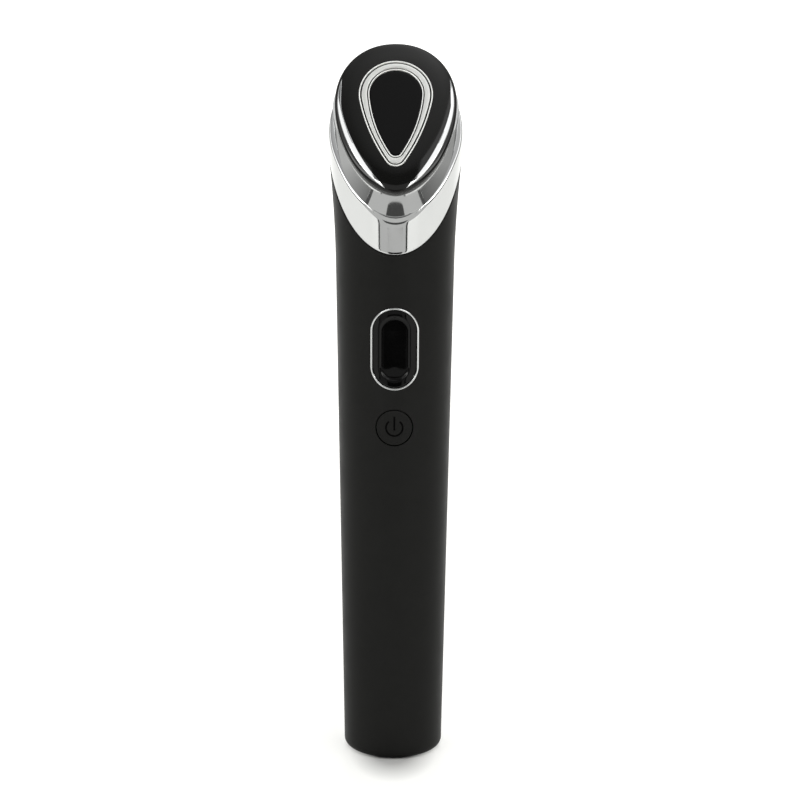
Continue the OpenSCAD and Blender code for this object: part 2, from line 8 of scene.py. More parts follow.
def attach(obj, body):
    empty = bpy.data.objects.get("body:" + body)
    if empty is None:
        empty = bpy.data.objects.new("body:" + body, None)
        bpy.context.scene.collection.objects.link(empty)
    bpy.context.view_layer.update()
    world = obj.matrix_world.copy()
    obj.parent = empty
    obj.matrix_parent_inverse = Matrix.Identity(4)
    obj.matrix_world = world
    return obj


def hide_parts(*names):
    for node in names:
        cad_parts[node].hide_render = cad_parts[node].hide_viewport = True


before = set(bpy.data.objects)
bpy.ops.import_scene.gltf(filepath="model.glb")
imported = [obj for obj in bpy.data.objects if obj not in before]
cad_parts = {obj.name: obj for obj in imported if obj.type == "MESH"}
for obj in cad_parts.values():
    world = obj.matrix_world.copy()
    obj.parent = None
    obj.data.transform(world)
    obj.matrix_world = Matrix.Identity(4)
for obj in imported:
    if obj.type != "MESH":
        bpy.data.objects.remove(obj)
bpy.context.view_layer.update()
scene = bpy.context.scene

# Lengths are in millimetres until piece() scales a finished mesh to metres.
MM = 0.001
# Points nearer than this become one, and edges steeper than this stay sharp
WELD = 0.0008
SHARP_ANGLE = math.radians(35)

# The photograph's viewpoint, in metres and degrees, and its lens
CAMERA_AT = (0, -0.557, 0.2132)
CAMERA_TURN = -0.136
CAMERA_DOWN = 12.845
CAMERA_ROLL = 0.3
FOCAL_MM = 108.09
SENSOR_MM = 36

# The handle's envelope: cone, flare, shoulder and dome, each tangent to the next
FOOT_R = 11.8
TAPER = 0.0177
FLARE_R = 290.0
SHOULDER_R = 15.75
SHOULDER_Z = 148.0
DOME_R = 10.0
TOTAL_H = 170.0
SKIN_INSET = 0.008

# The handle's wall, its rounded foot with the hole for the plug, and its mouth's edges
WALL = 1.7
FOOT_ROUND = 1.8
FLOOR_H = 2.0
LIP_R = 9.0
MOUTH_ROUND = 0.18
MOUTH_BREAK = 0.05
# Its rows are level up to here, and above it they tilt up to the cut
LEVEL_TOP = 112
RISE_ROWS = 26
ROUND_COUNT = 256

# The head's oblique plane and its steps
TILT = math.radians(58)
CUT_Z = 145.2
SEAM_H = 0.3
COLLAR_H = 5.5
CAP_BASE = 8.25
CAP_WALL = 1.95
CROWN_H = 1.53
CROWN_RUN = 10.5
CROWN_EASE = 3
CROWN_ROUND = 0.44
POCKET_H = 1.3
BEVEL_START = -15.4
BEVEL_SLOPE = math.tan(math.radians(10.5))
HEAD_COUNT = 360
# Where the rays that find each tier's outline start, up along the cut
COLLAR_MIDDLE = -4.0
NECK_MIDDLE = 0.0
CAP_MIDDLE = 3.0
LENS_MIDDLE = 6.0

# Ovals: half width, reach up, reach down, height of the widest line. A bend is for the
# upper and the lower half: 1 is half an ellipse, less is fuller and more is pointed.
CAP_OVAL = (14.03, 15.45, 22.3, 7.3)
CAP_BEND = (0.94, 1.1)
NECK_OVAL = (14.65, 12.8, 27.35, 8.75)
CRESCENT_OUT = (13.445, 14.97, 22.11, 7.3)
CRESCENT_OUT_BEND = (0.94, 1.226)
CRESCENT_IN = (12.53, 40.0, 22.1, 7.12)
CRESCENT_IN_BEND = (1, 1.394)
# The crescents' lower points are cut straight, through a point and along a direction
POINT_CUT_AT = (3.9, -11.9)
POINT_CUT_ALONG = (3, 4.1)
CRESCENT_PROUD = 0.12
CRESCENT_ROUND = 0.16
CRESCENT_RAYS = 2400
CRESCENT_SKIP = 8

# Teardrops: tip, side arc and big end, each a centre and a radius
RING_DROP = ((0.0, -6.345, 2.63), (-33.508, 15.556, 42.66), (0.0, 9.12, 8.54))
LENS_DROP = ((0.0, -4.96, 1.43), (-25.941, 11.402, 32.1), (0.0, 9.25, 6.07))

# Window and button
WINDOW_Z = 101.25
WINDOW_H = 19.5
WINDOW_W = 11.25
TRIM_GAP = 0.1
CAPSULE_COUNT = 96
BUTTON_Z = 82.5
BUTTON_R = 4.18
BUTTON_GAP = 0.24
BUTTON_BACK = -9.6
BUTTON_SINK = 0.14
DISH_R = 110
SYMBOL_R = 1.94
SYMBOL_GAP = 40
SYMBOL_STEPS = 60
SYMBOL_SINK = 0.12
SYMBOL_DEPTH = 0.22
STROKE = 0.42
CUTTER_REACH = (-20, -6.5)

# The studio, in metres: the floor's glow near the foot and far off, the head's height,
# the board in front, and the brightness of the cards and lights, where white paper is 1
GLOW_NEAR = 0.5
GLOW_FAR = 1.0
HEAD_Z = 0.142
BOARD_Y = -0.75
CARD_LEVEL = {"sheet": 0.74, "sheet_edge": 0.05, "board": 0.75, "board_edge": 0.12, "slot": 0.02,
              "arch": 0.09, "front_fill": 0.75, "front_light": 5.0, "side": 0.25}
SIDE_FADE = 0.68
ARC_STEPS = 12
OVERHEAD_LEVEL = 2.2
BOX_LEVEL = 1.6


def camera():
    """Camera at the photograph's viewpoint: 0.56 m away, a little above the object."""
    data = bpy.data.cameras.new("camera")
    data.sensor_width = SENSOR_MM
    data.lens = FOCAL_MM
    data.clip_start = 0.01
    data.clip_end = 50
    made = bpy.data.objects.new("camera", data)
    scene.collection.objects.link(made)
    turn = Matrix.Rotation(math.radians(CAMERA_TURN), 4, "Z")
    pitch = Matrix.Rotation(math.radians(90 - CAMERA_DOWN), 4, "X")
    roll = Matrix.Rotation(math.radians(CAMERA_ROLL), 4, "Z")
    made.matrix_world = Matrix.Translation(CAMERA_AT) @ turn @ pitch @ roll
    scene.camera = made


camera()


# The envelope's arcs: each centre follows from the joins being tangent
SHOULDER_ARC = ((TOTAL_H - SHOULDER_Z - DOME_R) ** 2 + SHOULDER_R ** 2 - DOME_R ** 2) / (
    2 * (SHOULDER_R - DOME_R))
SHOULDER_C = Vector((SHOULDER_R - SHOULDER_ARC, SHOULDER_Z))
DOME_C = Vector((0, TOTAL_H - DOME_R))
CONE_DIR = Vector((math.sin(math.atan(TAPER)), math.cos(math.atan(TAPER))))
CONE_OUT = Vector((CONE_DIR.y, -CONE_DIR.x))
FOOT_P = Vector((FOOT_R, 0))
FLARE_W = FOOT_P + FLARE_R * CONE_OUT - SHOULDER_C
FLARE_RUN = -FLARE_W.dot(CONE_DIR) - math.sqrt(
    FLARE_W.dot(CONE_DIR) ** 2 - FLARE_W.dot(FLARE_W) + (FLARE_R + SHOULDER_ARC) ** 2)
FLARE_C = FOOT_P + FLARE_R * CONE_OUT + FLARE_RUN * CONE_DIR
TO_FLARE = (FLARE_C - SHOULDER_C).normalized()
TO_DOME = (DOME_C - SHOULDER_C).normalized()


def envelope_radius(z, e=0.0):
    """Radius of the envelope at height z, set in by e; negative above its top."""
    e += SKIN_INSET
    cone_end = FOOT_P + FLARE_RUN * CONE_DIR - e * CONE_OUT
    flare_end = SHOULDER_C + (SHOULDER_ARC - e) * TO_FLARE
    shoulder_end = SHOULDER_C + (SHOULDER_ARC - e) * TO_DOME
    if z <= cone_end.y:
        return FOOT_R + TAPER * z - e / CONE_OUT.x
    if z <= flare_end.y:
        return FLARE_C.x - math.sqrt((FLARE_R + e) ** 2 - (z - FLARE_C.y) ** 2)
    if z <= shoulder_end.y:
        return SHOULDER_C.x + math.sqrt((SHOULDER_ARC - e) ** 2 - (z - SHOULDER_C.y) ** 2)
    left = (DOME_R - e) ** 2 - (z - DOME_C.y) ** 2
    return math.sqrt(left) if left > 0 else -1.0


def tilted(x, s, t):
    """Point of the head's tilted frame: across, up along the cut, and above the cut."""
    return Vector((x, s * math.cos(TILT) - t * math.sin(TILT),
                   CUT_Z + s * math.sin(TILT) + t * math.cos(TILT)))


def reach(outside, far=60.0):
    """Distance from the start of a ray to where it leaves a shape."""
    low, high = 0.0, far
    # 30 halvings bring it within a millionth of a millimetre
    for _ in range(30):
        middle = (low + high) / 2
        if outside(middle):
            high = middle
        else:
            low = middle
    return low


def directions(half_width, half_height):
    """Unit directions that space points evenly round an oval."""
    found = []
    for k in range(HEAD_COUNT):
        a = 2 * math.pi * k / HEAD_COUNT
        found.append(Vector((half_width * math.cos(a), half_height * math.sin(a))).normalized())
    return found


def outside_egg(x, s, oval, inset, bend):
    """Whether a point lies outside an oval that is set in and bent."""
    width, up, down, middle = oval
    k, height = (bend[0], up) if s >= middle else (bend[1], down)
    return (abs(x) / (width - inset)) ** (2 / k) + (abs(s - middle) / (height - inset)) ** (2 / k) > 1


def side_angles(drop):
    """Angles at which a teardrop's side arc runs into its tip and its big end."""
    tip, side, top = drop
    return [math.atan2(end[1] - side[1], end[0] - side[0]) for end in (tip, top)]


def outside_drop(x, s, drop):
    """Whether a point lies outside a teardrop."""
    tip, side, top = drop
    low, high = side_angles(drop)
    angle = math.atan2(s - side[1], abs(x) - side[0])
    arc = top if angle > high else tip if angle < low else side
    return math.hypot(abs(x) - arc[0], s - arc[1]) > arc[2]


def crown_height(inset):
    """Height of the cap's crown above its base, a given way in from its outline."""
    run = min(max(inset / CROWN_RUN, 0), 1)
    return CAP_WALL + CROWN_H * (1 - (1 - run) ** CROWN_EASE) ** CROWN_ROUND


def crown_t(x, s):
    """Height of the crown above the cut, at a point of the cap."""
    inset = reach(lambda e: outside_egg(x, s, CAP_OVAL, e, CAP_BEND), CAP_OVAL[0] - 0.1)
    return CAP_BASE + crown_height(inset)


def on_crown(points, h):
    """Points on the crown, h proud of it."""
    return [tilted(x, s, crown_t(x, s) + h) for x, s in points]


def ledge(s):
    """Height of the collar's top, which slopes down at the front."""
    return COLLAR_H - max(0.0, BEVEL_START - s) * BEVEL_SLOPE


def mix(a, b, f):
    return a + (b - a) * f


def between(outer, inner, f):
    """Points a share of the way from one outline to another."""
    return [(mix(p[0], q[0], f), mix(p[1], q[1], f)) for p, q in zip(outer, inner)]


def quarter(first, step):
    """Cosine and sine of the angles that round an edge, in degrees from first up to 90."""
    return [(math.cos(math.radians(a)), math.sin(math.radians(a))) for a in range(first, 91, step)]


def loft(rows, bm=None):
    """Skin over closed rows of points, with a band of faces from each row to the next."""
    bm = bm or bmesh.new()
    skin = [[bm.verts.new(p) for p in row] for row in rows]
    for low, high in zip(skin, skin[1:]):
        for k in range(len(low)):
            bm.faces.new((low[k - 1], low[k], high[k], high[k - 1]))
    return bm


def piece(name, bm, finish, body=None, stands_for=()):
    """Welds and scales a mesh, and makes it a piece that rides on a body, or a cutter."""
    bmesh.ops.remove_doubles(bm, verts=bm.verts, dist=WELD)
    bmesh.ops.recalc_face_normals(bm, faces=bm.faces)
    bmesh.ops.scale(bm, vec=(MM, MM, MM), verts=bm.verts)
    mesh = bpy.data.meshes.new(name)
    bm.to_mesh(mesh)
    bm.free()
    mesh.shade_smooth()
    mesh.set_sharp_from_angle(angle=SHARP_ANGLE)
    mesh.materials.append(finish)
    made = bpy.data.objects.new(name, mesh)
    scene.collection.objects.link(made)
    if body:
        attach(made, body)
        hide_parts(*stands_for)
    return made


def cut(target, cutter):
    """Takes the cutter's space out of the target."""
    step = target.modifiers.new("cut", "BOOLEAN")
    step.operation = "DIFFERENCE"
    step.solver = "EXACT"
    step.material_mode = "TRANSFER"
    step.object = cutter
    bpy.context.view_layer.update()
    graph = bpy.context.evaluated_depsgraph_get()
    mesh = bpy.data.meshes.new_from_object(target.evaluated_get(graph))
    target.modifiers.remove(step)
    target.data = mesh
    bpy.data.objects.remove(cutter)
    mesh.set_sharp_from_angle(angle=SHARP_ANGLE)


def linear(code):
    """sRGB hex to linear colour."""
    parts = [int(code[i:i + 2], 16) / 255 for i in (0, 2, 4)]
    return tuple(p / 12.92 if p <= 0.04045 else ((p + 0.055) / 1.055) ** 2.4 for p in parts) + (1,)


def add(tree, kind, inputs, **settings):
    """Adds a node with its settings. An input given as a socket is linked."""
    node = tree.nodes.new(kind)
    for key, value in settings.items():
        setattr(node, key, value)
    for key, value in inputs.items():
        if isinstance(value, bpy.types.NodeSocket):
            tree.links.new(value, node.inputs[key])
        else:
            node.inputs[key].default_value = value
    return node


def finish_of(name, colour, shade, patch_mm, roughness, grain_mm, depth_mm, **shader):
    """Moulded, plated or painted surface: patches of two tones and two roughnesses,
    over a fine grain. The sizes are those of one patch and of one grain. In a colour
    mix, inputs 6 and 7 are its two colours."""
    made = bpy.data.materials.new(name)
    made.use_nodes = True
    tree = made.node_tree
    tree.nodes.clear()
    place = add(tree, "ShaderNodeTexCoord", {}).outputs["Object"]
    patch = add(tree, "ShaderNodeTexNoise",
                {"Vector": place, "Scale": 1000 / patch_mm, "Detail": 3.0, "Roughness": 0.6})
    tone = add(tree, "ShaderNodeMix",
               {0: patch.outputs[0], 6: linear(colour), 7: linear(shade)}, data_type="RGBA")
    gloss = add(tree, "ShaderNodeMapRange",
                {"Value": patch.outputs[0], "From Min": 0.3, "From Max": 0.7,
                 "To Min": roughness[0], "To Max": roughness[1]})
    grain = add(tree, "ShaderNodeTexNoise",
                {"Vector": place, "Scale": 1000 / grain_mm, "Detail": 2.0, "Roughness": 0.5})
    bump = add(tree, "ShaderNodeBump",
               {"Strength": 1.0, "Distance": depth_mm * MM, "Height": grain.outputs[0]})
    surface = add(tree, "ShaderNodeBsdfPrincipled",
                  {"Base Color": tone.outputs[2], "Roughness": gloss.outputs[0],
                   "Normal": bump.outputs[0], **shader})
    add(tree, "ShaderNodeOutputMaterial", {"Surface": surface.outputs[0]})
    return made


# Soft-touch lacquer on ABS: a satin black that stays dark at its edges
soft_touch = finish_of("soft_touch_lacquer", "191918", "1E1E1D", 6, (0.38, 0.46), 0.35, 0.004,
                       **{"Specular IOR Level": 0.06})
# High-gloss ABS, polished in the mould: deep black with hard reflections
piano_black = finish_of("piano_black_abs", "0B0B0A", "0E0E0D", 9, (0.06, 0.1), 2.5, 0.0015,
                        **{"Specular IOR Level": 0.3})
# Smoked polycarbonate: the window's and lens's black, clearer and darker than ABS
smoked_glass = finish_of("smoked_polycarbonate", "040404", "060606", 7, (0.05, 0.09), 3, 0.001,
                         **{"Specular IOR Level": 0.16})
# Decorative chrome on ABS: bright and slightly wavy, as plating on a moulding is
chrome = finish_of("chrome_on_abs", "C9CACA", "C2C3C3", 7, (0.04, 0.08), 4, 0.001,
                   **{"Metallic": 1.0})
# Satin chrome: the same plating over a fine blasted mould
satin_chrome = finish_of("satin_chrome", "D2D3D0", "C8C9C6", 4, (0.3, 0.38), 0.25, 0.004,
                         **{"Metallic": 0.55})
# The ring's beads: the same satin plating, made lighter and more diffuse as a painted highlight for
# the bright lines that round beads reflect
satin_painted_highlight = finish_of("satin_chrome_painted_highlight", "F4F4F1", "EBECE9", 3, (0.2, 0.26), 0.25, 0.002,
                         **{"Metallic": 0.25})
# The same lacquer in the sunk symbol, darker and duller
sunk_black = finish_of("soft_touch_lacquer_sunk", "030303", "050505", 2, (0.6, 0.7), 0.3, 0.004,
                       **{"Specular IOR Level": 0.04})
# Carbon black filled PC/ABS, unlacquered, with spark-eroded grain
frame_black = finish_of("grained_abs", "121212", "181818", 4, (0.5, 0.62), 0.3, 0.01)
# Glass-filled nylon: grey, with pale fibre flow marks
grey_nylon = finish_of("glass_filled_nylon", "54575B", "63666A", 2.5, (0.5, 0.65), 0.3, 0.012)
# Epoxy mouldings of chips and connectors: dull near-black
black_moulding = finish_of("epoxy_moulding", "141414", "1D1D1E", 1.5, (0.55, 0.7), 0.15, 0.01)
# Green solder mask over copper: darker and lighter greens where tracks run beneath
solder_mask = finish_of("solder_mask", "0D4A24", "155E30", 1.6, (0.25, 0.4), 0.4, 0.01,
                        **{"Coat Weight": 0.3})
# Shrink sleeve on the capacitor: blue grey film
capacitor_sleeve = finish_of("capacitor_shrink_film", "2F3C58", "37466A", 2, (0.25, 0.4), 0.5, 0.01)
# Shrink sleeve on the cell: blue film with slight wrinkles
battery_sleeve = finish_of("cell_shrink_film", "2E6292", "376EA2", 5, (0.25, 0.38), 1.2, 0.03)
# Nickel plated steel: screws, tabs, socket shell and motor can
nickel_steel = finish_of("nickel_plated_steel", "A9A7A2", "B8B6B0", 1.5, (0.2, 0.32), 0.2, 0.005,
                         **{"Metallic": 1.0})
# Sintered tungsten alloy: dull grey brown metal with a grainy skin
sintered_weight = finish_of("sintered_tungsten", "7E796E", "8C877B", 0.8, (0.42, 0.55), 0.15, 0.01,
                            **{"Metallic": 1.0})
# Silicone rubber: matt, a little dusty
black_rubber = finish_of("silicone_rubber", "191919", "242424", 1.5, (0.7, 0.85), 0.25, 0.01,
                         **{"Sheen Weight": 0.1})
# Gold flash over nickel on the spring pins
gold_flash = finish_of("gold_flash", "C9A24A", "D6B15C", 0.6, (0.18, 0.28), 0.1, 0.003,
                       **{"Metallic": 1.0})
# Silicone insulation of the motor's two leads: red, soft and slightly glossy
wire_silicone = finish_of("wire_insulation", "8E1F1C", "A32A24", 1.2, (0.4, 0.5), 0.2, 0.004)
# Polyimide film of the flexible cable: clear amber over copper
polyimide_film = finish_of("polyimide_film", "A8641B", "BC7A2A", 1.5, (0.2, 0.3), 0.4, 0.004,
                           **{"Coat Weight": 0.4})
# Closed-cell foam between board and cell: dark grey with open pores at its cut skin
pad_foam = finish_of("pad_foam", "262729", "35373A", 0.9, (0.85, 0.95), 0.18, 0.05,
                     **{"Sheen Weight": 0.15})
# Milky silicone over a light chip, with yellow phosphor in it
led_silicone = finish_of("led_silicone", "E6D9A6", "F0E6BE", 0.8, (0.3, 0.4), 0.2, 0.005,
                         **{"Subsurface Weight": 0.2, "Subsurface Scale": 0.001})


def winding():
    """Enamelled copper wire, 0.2 mm thick, wound in turns side by side."""
    wire = 0.2
    made = finish_of("enamelled_copper", "8A4A22", "9C5A2C", 1.2, (0.25, 0.35), 0.3, 0.004,
                     **{"Metallic": 0.8})
    tree = made.node_tree
    bump = next(n for n in tree.nodes if n.type == "BUMP")
    place = next(n for n in tree.nodes if n.type == "TEX_COORD").outputs["Object"]
    turns = add(tree, "ShaderNodeTexWave",
                {"Vector": place, "Scale": 2 * math.pi / (20 * wire * MM), "Distortion": 0.2},
                wave_type="BANDS", bands_direction="Y")
    tree.links.new(turns.outputs[1], bump.inputs["Height"])
    bump.inputs["Distance"].default_value = 0.3 * wire * MM
    return made


FINISH_OF_NODE = {
    "end_cap": soft_touch, "head_frame": frame_black, "chassis": grey_nylon,
    "display_module": grey_nylon, "main_board": solder_mask, "led_board": solder_mask,
    "board_chips": black_moulding, "tact_switch": black_moulding,
    "usb_c_tongue": black_moulding, "switch_plunger": black_moulding,
    "storage_capacitor": capacitor_sleeve, "pulse_transformer": winding(),
    "usb_c_shell": nickel_steel, "battery_tabs": nickel_steel, "board_screws": nickel_steel,
    "head_screws": nickel_steel, "motor_can": nickel_steel, "motor_shaft": nickel_steel,
    "battery_cell": battery_sleeve, "eccentric_weight": sintered_weight,
    "motor_mount": black_rubber, "leds": led_silicone, "contact_pins": gold_flash,
    "motor_leads": wire_silicone, "head_ribbon": polyimide_film, "cell_pad": pad_foam,
}
for name, finish in FINISH_OF_NODE.items():
    node_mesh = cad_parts[name].data
    node_mesh.materials.clear()
    node_mesh.materials.append(finish)


def round_row(r, z):
    """Level ring of points round the handle's axis."""
    angles = [2 * math.pi * k / ROUND_COUNT for k in range(ROUND_COUNT)]
    return [Vector((r * math.cos(a), r * math.sin(a), z)) for a in angles]


def level_row(z, e):
    """Level row on the envelope, set in by e."""
    return round_row(envelope_radius(z, e), z)


def oblique_row(t, e, share=1.0):
    """Row on the envelope at t above the cut, or a share of the way up to it."""
    points = []
    for k in range(ROUND_COUNT):
        a = 2 * math.pi * k / ROUND_COUNT

        def above(rise):
            z = LEVEL_TOP + rise
            r = envelope_radius(z, e)
            return -r * math.sin(a) * math.sin(TILT) + (z - CUT_Z) * math.cos(TILT) > t
        z = LEVEL_TOP + share * reach(above, TOTAL_H - LEVEL_TOP - 0.1)
        r = envelope_radius(z, e)
        points.append(Vector((r * math.cos(a), r * math.sin(a), z)))
    return points


def handle():
    """Tube with a rounded foot, an oblique mouth and two openings in its front."""
    rows = [round_row(LIP_R, 0)]
    foot_c = FOOT_R + TAPER * FOOT_ROUND - FOOT_ROUND
    for c, s in quarter(0, 10):
        rows.append(round_row(foot_c + FOOT_ROUND * s, FOOT_ROUND * (1 - c)))
    rows += [level_row(z, 0) for z in range(3, LEVEL_TOP + 1, 2)]
    rows += [oblique_row(-MOUTH_ROUND, 0, k / RISE_ROWS) for k in range(1, RISE_ROWS + 1)]
    for c, s in quarter(15, 15):
        rows.append(oblique_row(-MOUTH_ROUND * (1 - s), MOUTH_ROUND * (1 - c)))
    rows += [oblique_row(0, WALL - MOUTH_BREAK), oblique_row(-MOUTH_BREAK, WALL)]
    rows += [oblique_row(-MOUTH_BREAK, WALL, f) for f in (0.66, 0.33)]
    rows += [level_row(z, WALL) for z in range(LEVEL_TOP, 3, -6)]
    rows += [level_row(FLOOR_H, WALL), round_row(LIP_R, FLOOR_H), rows[0]]
    made = piece("handle_tube", loft(rows), soft_touch, "handle",
                 ["handle_barrel"])
    hole = 2 * (BUTTON_R + BUTTON_GAP)
    cut(made, prism(WINDOW_Z, WINDOW_H + TRIM_GAP, WINDOW_W + TRIM_GAP))
    cut(made, prism(BUTTON_Z, hole, hole))


def capsule_rows(height, width, middle):
    """Outline of a capsule on the front: a function that gives its points for an inset."""
    def row(inset):
        points = []
        for k in range(CAPSULE_COUNT):
            a = 2 * math.pi * (k + 0.5) / CAPSULE_COUNT
            r = width / 2 - inset
            lift = (height - width) / 2 * (1 if math.sin(a) > 0 else -1)
            points.append((r * math.cos(a), middle + r * math.sin(a) + lift))
        return points
    return row


def prism(middle, height, width):
    """Capsule-shaped cutter that passes through the front wall only."""
    outline = capsule_rows(height, width, middle)(0)
    first, last = [[Vector((x, y, z)) for x, z in outline] for y in CUTTER_REACH]
    start, end = [[Vector((0, y, middle))] * len(outline) for y in CUTTER_REACH]
    return piece("cutter", loft([start, first, last, end]), soft_touch)


def on_front(points, h):
    """Points on the front of the handle, h proud of its surface."""
    return [Vector((x, -math.sqrt(envelope_radius(z, -h) ** 2 - x * x), z)) for x, z in points]


def window():
    """Chrome line with a rounded section, round a window with a dished face."""
    row = capsule_rows(WINDOW_H, WINDOW_W, WINDOW_Z)
    # sections are steps in from the outline, and heights proud of the handle
    line = [(0, -1.0), (0, -0.02), (0.02, 0.04), (0.07, 0.09), (0.14, 0.12), (0.24, 0.12),
            (0.33, 0.1), (0.39, 0.05), (0.42, -0.02), (0.42, -0.8), (0, -1.0)]
    piece("window_trim", loft([on_front(row(e), h) for e, h in line]), chrome,
          "handle", ["display_trim"])
    rim = [(0.5, -1.0), (0.5, -0.34), (0.52, -0.31), (0.56, -0.3), (0.9, -0.3), (1.4, -0.3),
           (1.8, -0.3), (1.95, -0.31), (2.05, -0.34)]
    dish = [(2.2, -0.44), (2.35, -0.58), (2.5, -0.68), (2.65, -0.73), (2.85, -0.75),
            (3.3, -0.785), (4.2, -0.835), (5.0, -0.853)]
    rows = [on_front(row(e), h) for e, h in rim + dish]
    rows.append([Vector((0, p.y, p.z)) for p in rows[-1]])
    piece("window_lens", loft(rows), smoked_glass, "handle",
          ["display_lens"])


def button():
    """Round button: a raised rim, and a face that follows the handle and is dished."""
    row = capsule_rows(2 * BUTTON_R, 2 * BUTTON_R, BUTTON_Z)
    section = [(0, -1.2), (0, -0.22), (0.02, -0.14), (0.07, -0.07), (0.14, -0.03), (0.24, -0.015),
               (0.34, -0.03), (0.46, -0.07)]
    for e in (0.6, 1.0, 1.5, 2.0, 2.5, 3.0, 3.5, 3.9, 4.179):
        section.append((e, -BUTTON_SINK + (BUTTON_R - e) ** 2 / (2 * DISH_R)))
    rows = [on_front(row(e), h) for e, h in section]
    back = [Vector((p.x, BUTTON_BACK, p.z)) for p in rows[0]]
    rows = [[Vector((0, BUTTON_BACK, BUTTON_Z))] * len(back), back] + rows
    made = piece("power_key", loft(rows), soft_touch, "button",
                 ["power_button"])
    cut(made, symbol())


def sunk_row(middle, across):
    """Square section of a groove in the button's face, as a row of four points."""
    row = []
    for side, deep in ((-0.5, False), (0.5, False), (0.5, True), (-0.5, True)):
        p = middle + across * side * STROKE
        y = -math.sqrt(envelope_radius(p.y) ** 2 - p.x * p.x)
        row.append(Vector((p.x, y + SYMBOL_SINK + SYMBOL_DEPTH if deep else y - 0.5, p.y)))
    return row


def symbol():
    """Cutter for the power symbol: an open ring and a bar in its gap."""
    ring = []
    for k in range(SYMBOL_STEPS + 1):
        a = math.radians(90 + SYMBOL_GAP + (360 - 2 * SYMBOL_GAP) * k / SYMBOL_STEPS)
        out = Vector((math.cos(a), math.sin(a)))
        ring.append(sunk_row(Vector((0, BUTTON_Z)) + SYMBOL_R * out, out))
    bar = [sunk_row(Vector((0, BUTTON_Z + h)), Vector((1, 0))) for h in (-0.6, 0.2, 1.0, 1.8, 2.7)]
    bm = bmesh.new()
    for rows in (ring, bar):
        loft([middle_row(rows[0])] + rows + [middle_row(rows[-1])], bm)
    return piece("cutter", bm, sunk_black)


def middle_row(row):
    """Row with every point at the middle of another, which closes a loft's end."""
    return [sum(row, Vector()) / len(row)] * len(row)


def ray_points(rays, start, outside):
    """Points (x, s) where rays from a point of the head's middle line leave a shape."""
    points = []
    for d in rays:
        run = reach(lambda r: outside(r * d.x, start + r * d.y))
        points.append((run * d.x, start + run * d.y))
    return points


def envelope_row(t_of, e, rays):
    """Row round the collar on the envelope, set in by e, at a height that depends on s."""
    def outside(x, s):
        p = tilted(x, s, t_of(s))
        return math.hypot(p.x, p.y) > envelope_radius(p.z, e)
    return [tilted(x, s, t_of(s)) for x, s in ray_points(rays, COLLAR_MIDDLE, outside)]


def egg_row(t_of, oval, inset, bend, rays, start):
    """Row round the head on an oval that is set in, at a height that depends on s."""
    points = ray_points(rays, start, lambda x, s: outside_egg(x, s, oval, inset, bend))
    return [tilted(x, s, t_of(s)) for x, s in points]


def collar():
    """Lower chrome tier, between the seam and its own sloped ledge."""
    rays = directions(15.7, 23.5)
    top_r, low_r, wall, steps = 0.35, 0.12, 1.9, 11
    # the neck stands in an opening that is this much smaller than the neck, and this deep
    overlap, deep = 0.5, 1.2
    rows = [envelope_row(lambda s: SEAM_H, wall, rays)]
    for c, up in quarter(0, 30):
        rows.append(envelope_row(lambda s: SEAM_H + low_r * (1 - c), low_r * (1 - up), rays))
    for i in range(1, steps + 1):
        rows.append(envelope_row(
            lambda s: mix(SEAM_H + low_r, ledge(s) - top_r, i / steps), 0, rays))
    for c, up in quarter(15, 15):
        rows.append(envelope_row(lambda s: ledge(s) - top_r * (1 - up), top_r * (1 - c), rays))
    inner = egg_row(ledge, NECK_OVAL, overlap, (1, 1), rays, COLLAR_MIDDLE)
    outer = rows[-1]
    for f in (0.3, 0.6, 1.0):
        rows.append([mix(p, q, f) for p, q in zip(outer, inner)])
    rows.append(egg_row(lambda s: ledge(s) - deep, NECK_OVAL, overlap, (1, 1), rays, COLLAR_MIDDLE))
    rows.append(envelope_row(lambda s: mix(SEAM_H, ledge(s), 0.6), wall, rays))
    rows.append(rows[0])
    piece("collar_plated", loft(rows), chrome, "handle", ["chrome_collar"])


def neck():
    """Upper chrome tier: it leans in to the cap and is slightly hollow."""
    rays = directions(14.6, 20)
    # under the cap it is smaller than the cap by this much, and by more in front
    step, front_step = 0.5, 0.9
    top = (CAP_OVAL[0] - step, CAP_OVAL[1] - step, CAP_OVAL[2] - front_step, CAP_OVAL[3])
    foot_gap, skirt, wall, hollow, steps = 0.05, 0.3, 1.6, 0.12, 14

    def row(t_of, oval, inset, bend):
        return egg_row(t_of, oval, inset, bend, rays, NECK_MIDDLE)
    rows = [row(lambda s: ledge(s) - skirt, NECK_OVAL, foot_gap, (1, 1)),
            row(lambda s: COLLAR_H, NECK_OVAL, foot_gap, (1, 1))]
    for i in range(steps + 1):
        f = i / steps
        oval = [mix(a, b, f) for a, b in zip(NECK_OVAL, top)]
        bend = (mix(1, CAP_BEND[0], f), mix(1, CAP_BEND[1], f))
        inset = foot_gap * (1 - f) + 4 * hollow * f * (1 - f)
        rows.append(row(lambda s: mix(COLLAR_H, CAP_BASE, f), oval, inset, bend))
    rows.append(row(lambda s: CAP_BASE, CAP_OVAL, wall, CAP_BEND))
    rows.append(row(lambda s: ledge(s) - skirt, CAP_OVAL, wall, CAP_BEND))
    rows.append(rows[0])
    piece("neck_plated", loft(rows), chrome, "handle", ["neck_ring"])


